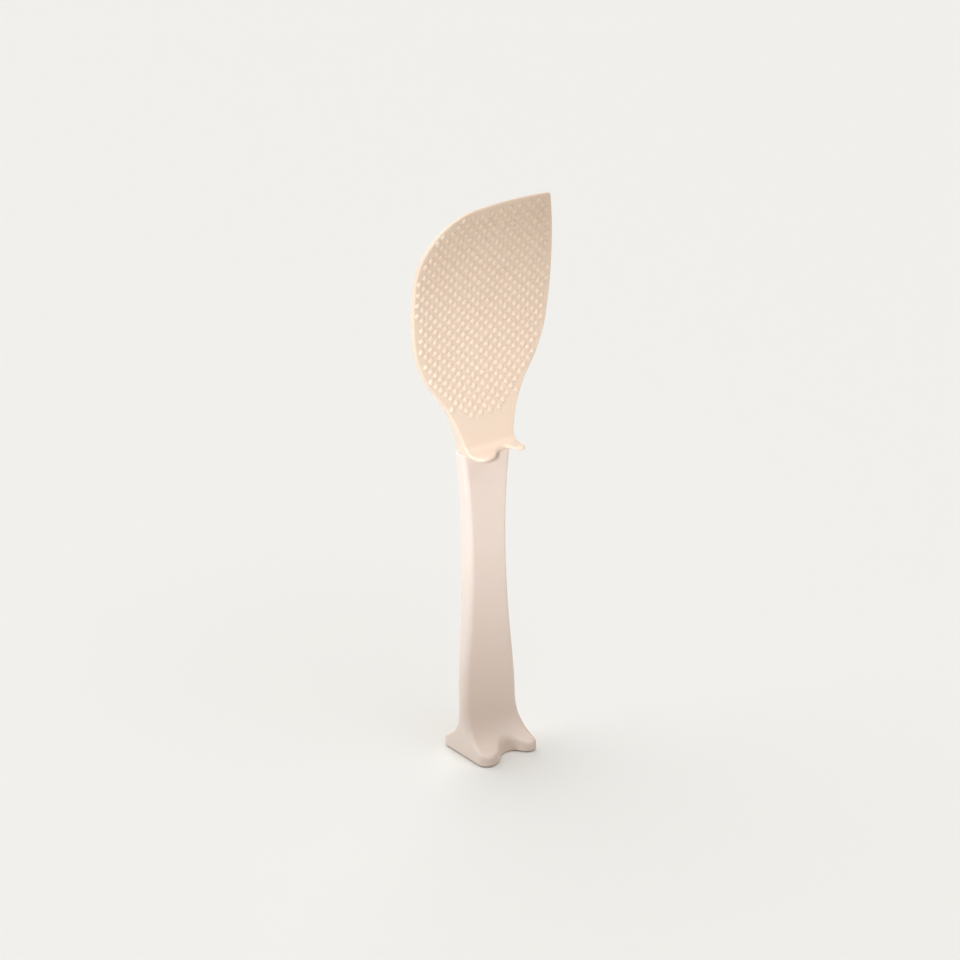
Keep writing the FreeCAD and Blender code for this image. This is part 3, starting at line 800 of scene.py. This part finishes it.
def matt_board():
    """Matt lacquered board: an even pale coat with hardly any gloss."""
    material, tree = bare_material("matt_lacquered_board")
    shader = add(tree, "ShaderNodeBsdfPrincipled", {
        "Base Color": to_linear(TABLE_PALE), "Roughness": 0.85, "Specular IOR Level": 0.1})
    add(tree, "ShaderNodeOutputMaterial", {"Surface": shader.outputs["BSDF"]})
    return material


corners = np.array([(-1, -1, 0), (1, -1, 0), (1, 1, 0), (-1, 1, 0)]) * TABLE_SIZE / 2 - (0, 0, TABLE_DROP)
table_mesh = bpy.data.meshes.new("table_top")
table_mesh.from_pydata((corners * MM).tolist(), [], [(0, 1, 2, 3)])
table_mesh.materials.append(matt_board())
table = bpy.data.objects.new("table_top", table_mesh)
bpy.context.scene.collection.objects.link(table)

# Light: a faint white room and two broad softboxes, one overhead and a stronger one high behind.
# Two soft-edged spots from the left light the paddle alone: one at its neck, its brightest place, and
# a weaker one along its left side.
SKY = "#FFFFFF"
SKY_STRENGTH = 0.07
TOP = {"strength": 1.58, "angle": 60.0, "from": (0.05, -0.30, 0.95)}
BACK = {"strength": 2.05, "angle": 85.0, "from": (-0.12, 0.95, 0.95)}
LAMP_DISTANCE = 1000.0
SPOT_RADIUS = 40.0
FILL = {"power": 35.5, "colour": "#E6F1FF", "from": (-0.62, -0.62, 0.40), "aim_z": 130.0, "reach": 104.0}
SIDE = {"power": 15.0, "colour": "#CFE9FF", "from": (-0.95, 0.10, 0.45), "aim_z": 110.0, "reach": 200.0}

sky = bpy.data.worlds.new("soft_daylight")
sky.use_nodes = True
sky.node_tree.nodes["Background"].inputs["Color"].default_value = to_linear(SKY)
sky.node_tree.nodes["Background"].inputs["Strength"].default_value = SKY_STRENGTH
bpy.context.scene.world = sky
paddle_only = bpy.data.collections.new("paddle_only")
for piece in (handle, blade, nubs):
    paddle_only.objects.link(piece)


def hang_lamp(name, kind, lamp):
    """Lamp of this kind that shines from a direction on the paddle, a metre away at a chosen height."""
    data = bpy.data.lights.new(name, kind)
    hung = bpy.data.objects.new(name, data)
    towards_lamp = Vector(lamp["from"]).normalized()
    hung.location = (Vector((0, 0, lamp.get("aim_z", 0))) + towards_lamp * LAMP_DISTANCE) * MM
    hung.rotation_euler = towards_lamp.to_track_quat("Z", "Y").to_euler()
    bpy.context.scene.collection.objects.link(hung)
    return data, hung


def softbox(name, lamp):
    """Broad even lamp, far off: its angle is how much of the sky it fills, in degrees."""
    data, _ = hang_lamp(name, "SUN", lamp)
    data.energy = lamp["strength"]
    data.angle = np.radians(lamp["angle"])


def spot_lamp(name, lamp):
    """Soft-edged spot lamp that lights the paddle about one height and leaves the table alone."""
    data, spot = hang_lamp(name, "SPOT", lamp)
    data.energy = lamp["power"]
    data.color = to_linear(lamp["colour"])[:3]
    data.spot_size = 2 * np.arctan(lamp["reach"] / LAMP_DISTANCE)
    data.spot_blend = 1.0
    data.shadow_soft_size = SPOT_RADIUS * MM
    spot.light_linking.receiver_collection = paddle_only


softbox("top_softbox", TOP)
softbox("back_softbox", BACK)
spot_lamp("neck_lamp", FILL)
spot_lamp("side_lamp", SIDE)
bpy.context.scene.view_settings.view_transform = "Standard"

# Camera: a long lens from the front left, looking down on the paddle from well back.
# It turns about a point near the paddle's middle, and everything is in focus.
VIEW_AZIMUTH = -37.96
VIEW_ELEVATION = 25.24
VIEW_MIDDLE = (-13.9, -11.3, 119.2)
VIEW_DISTANCE = 1438.0
LENS = 150.0
SENSOR = 36.0

azimuth, elevation = np.radians((VIEW_AZIMUTH, VIEW_ELEVATION))
level = np.cos(elevation)
towards = Vector((np.sin(azimuth) * level, -np.cos(azimuth) * level, np.sin(elevation)))
camera_data = bpy.data.cameras.new("camera")
camera_data.lens = LENS
camera_data.sensor_width = SENSOR
camera = bpy.data.objects.new("camera", camera_data)
camera.location = (Vector(VIEW_MIDDLE) + towards * VIEW_DISTANCE) * MM
camera.rotation_euler = towards.to_track_quat("Z", "Y").to_euler()
bpy.context.scene.collection.objects.link(camera)
bpy.context.scene.camera = camera
